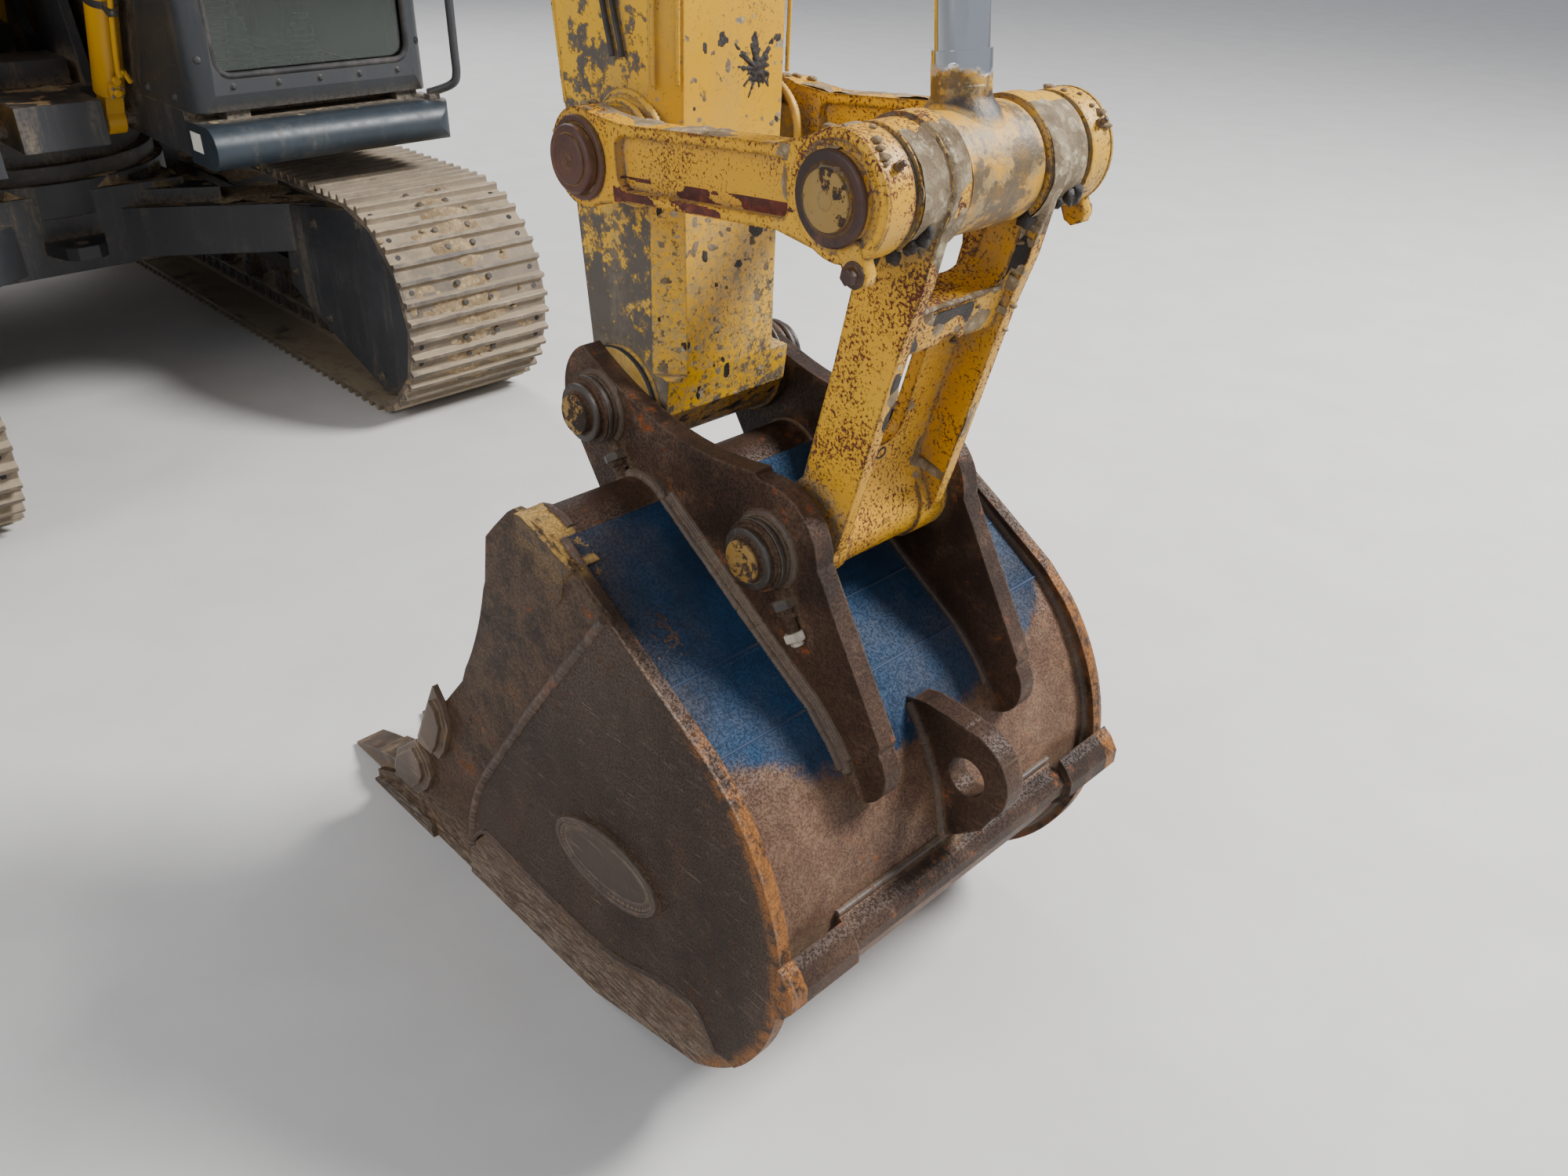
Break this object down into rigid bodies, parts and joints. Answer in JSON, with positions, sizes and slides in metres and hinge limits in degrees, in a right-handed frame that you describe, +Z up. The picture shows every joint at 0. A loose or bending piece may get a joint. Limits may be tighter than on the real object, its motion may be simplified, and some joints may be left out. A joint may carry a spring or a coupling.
{
  "type": "crawler excavator",
  "caption": "Crawler excavator with a turning upper, cab, boom, arm, bucket linkage and toothed digging bucket on steel tracks.",
  "frame": {"origin": "on the ground under the slew axis, midway between the tracks", "axes": "+X forward to the bucket, +Y to the machine's left, +Z up"},
  "size_m": [7.5137, 2.612, 4.621],
  "materials": {
    "yellow_paint": "chipped yellow paint",
    "dark_paint": "dark grey paint, dusty",
    "track_steel": "worn, muddy steel",
    "bucket_steel": "rusted and worn steel with blue paint left on the back",
    "cab_paint": "dark grey satin paint",
    "beam_paint": "grey paint, dusty",
    "glass": "dusty glass",
    "seat_fabric": "dark fabric",
    "control_plastic": "black plastic",
    "chrome_rod": "polished rod with dirty eye",
    "cast_yellow": "yellow paint worn to steel at the eyes",
    "engine_grey": "painted casting",
    "tooth_steel": "worn cast steel with yellow paint left",
    "exhaust_steel": "heat-tinted steel"
  },
  "bodies": {
    "undercarriage": {"car_body": "dark_paint", "slew_ring": "track_steel", "track_frame_left": "dark_paint", "track_frame_right": "dark_paint", "wheels_left": "track_steel", "wheels_right": "track_steel", "final_drives": "track_steel", "track_left": "track_steel", "track_right": "track_steel"},
    "upper": {"platform": "dark_paint", "boom_bracket": "dark_paint", "counterweight": "yellow_paint", "engine": "engine_grey", "housing": "yellow_paint", "tanks": "yellow_paint", "tool_box": "dark_paint", "rear_box": "dark_paint", "cab_shell": "cab_paint", "cab_glass": "glass", "seat": "seat_fabric", "levers": "control_plastic", "front_beam": "beam_paint", "hand_rails": "dark_paint", "exhaust": "exhaust_steel"},
    "hood": {"hood": "yellow_paint"},
    "side_door_left": {"side_door_left": "yellow_paint"},
    "side_door_right": {"side_door_right": "yellow_paint"},
    "cab_door": {"cab_door": "cab_paint", "door_glass": "glass"},
    "boom": {"boom": "yellow_paint"},
    "boom_barrels": {"boom_barrels": "yellow_paint"},
    "boom_rods": {"boom_rods": "chrome_rod"},
    "arm_barrel": {"arm_barrel": "yellow_paint"},
    "arm_rod": {"arm_rod": "chrome_rod"},
    "arm": {"arm": "yellow_paint"},
    "bucket_barrel": {"bucket_barrel": "yellow_paint"},
    "bucket_rod": {"bucket_rod": "chrome_rod"},
    "idler_links": {"idler_links": "cast_yellow"},
    "power_link": {"power_link": "cast_yellow"},
    "bucket": {"bucket": "bucket_steel", "teeth": "tooth_steel", "side_cutters": "bucket_steel", "heel_bars": "bucket_steel"}
  },
  "joints": [
    {"name": "slew", "type": "hinge", "parent": "undercarriage", "child": "upper", "pos_m": [0, 0, 0.89], "axis": [0, 0, 1], "continuous": true},
    {"name": "cab_door_hinge", "type": "hinge", "parent": "upper", "child": "cab_door", "pos_m": [0.244, 1.254, 1.2], "axis": [0, 0, 1], "range_deg": [0, 150]},
    {"name": "hood_hinge", "type": "hinge", "parent": "upper", "child": "hood", "pos_m": [-1.612, 0, 2.02], "axis": [0, -1, 0], "range_deg": [0, 70]},
    {"name": "side_door_left_hinge", "type": "hinge", "parent": "upper", "child": "side_door_left", "pos_m": [-1.614, 1.236, 1.5], "axis": [0, 0, 1], "range_deg": [0, 120]},
    {"name": "side_door_right_hinge", "type": "hinge", "parent": "upper", "child": "side_door_right", "pos_m": [-1.614, -1.236, 1.5], "axis": [0, 0, -1], "range_deg": [0, 120]},
    {"name": "boom_pivot", "type": "hinge", "parent": "upper", "child": "boom", "pos_m": [0.05, 0, 1.68], "axis": [0, -1, 0], "range_deg": [-45, 33]},
    {"name": "boom_barrel_pivot", "type": "hinge", "parent": "upper", "child": "boom_barrels", "pos_m": [0.632, 0, 1.06], "axis": [0, -1, 0], "range_deg": [-39.33, 28.84]},
    {"name": "boom_rod_slide", "type": "slide", "parent": "boom_barrels", "child": "boom_rods", "axis": [0.4085, 0, 0.9128], "range_m": [-0.619, 0.45407]},
    {"name": "arm_pivot", "type": "hinge", "parent": "boom", "child": "arm", "pos_m": [4.17887, 0, 3.91332], "axis": [0, 1, 0], "range_deg": [-80, 24]},
    {"name": "arm_barrel_pivot", "type": "hinge", "parent": "boom", "child": "arm_barrel", "pos_m": [1.59249, 0, 3.66263], "axis": [0, 1, 0], "range_deg": [-0.82, 2.7]},
    {"name": "arm_rod_slide", "type": "slide", "parent": "arm_barrel", "child": "arm_rod", "axis": [0.9481, 0, 0.3181], "range_m": [-0.73968, 0.22225]},
    {"name": "bucket_pivot", "type": "hinge", "parent": "arm", "child": "bucket", "pos_m": [4.37, 0, 1.18], "axis": [0, 1, 0], "range_deg": [-65, 65]},
    {"name": "idler_pivot", "type": "hinge", "parent": "arm", "child": "idler_links", "pos_m": [4.41399, 0, 1.62616], "axis": [0, 1, 0], "range_deg": [-55.91, 55.91]},
    {"name": "power_link_pivot", "type": "hinge", "parent": "idler_links", "child": "power_link", "pos_m": [4.97206, 0, 1.6732], "axis": [0, 1, 0], "range_deg": [-40.44, 40.44]},
    {"name": "bucket_barrel_pivot", "type": "hinge", "parent": "arm", "child": "bucket_barrel", "pos_m": [4.72203, 0, 3.80094], "axis": [0, 1, 0], "range_deg": [-0.413, 0.413]},
    {"name": "bucket_rod_slide", "type": "slide", "parent": "bucket_barrel", "child": "bucket_rod", "axis": [0.1167, 0, -0.9932], "range_m": [-0.45996, 0.45996]}
  ],
  "couplings": [
    {"joint": "boom_barrel_pivot", "follows": "boom_pivot", "ratio": 0.8737},
    {"joint": "boom_rod_slide", "follows": "boom_pivot", "m_per_rad": 0.7875},
    {"joint": "arm_barrel_pivot", "follows": "arm_pivot", "ratio": -0.0336},
    {"joint": "arm_rod_slide", "follows": "arm_pivot", "m_per_rad": 0.5294},
    {"joint": "idler_pivot", "follows": "bucket_pivot", "ratio": 0.86},
    {"joint": "power_link_pivot", "follows": "bucket_pivot", "ratio": -0.622},
    {"joint": "bucket_barrel_pivot", "follows": "bucket_pivot", "ratio": 0.0062},
    {"joint": "bucket_rod_slide", "follows": "bucket_pivot", "m_per_rad": 0.405}
  ]
}
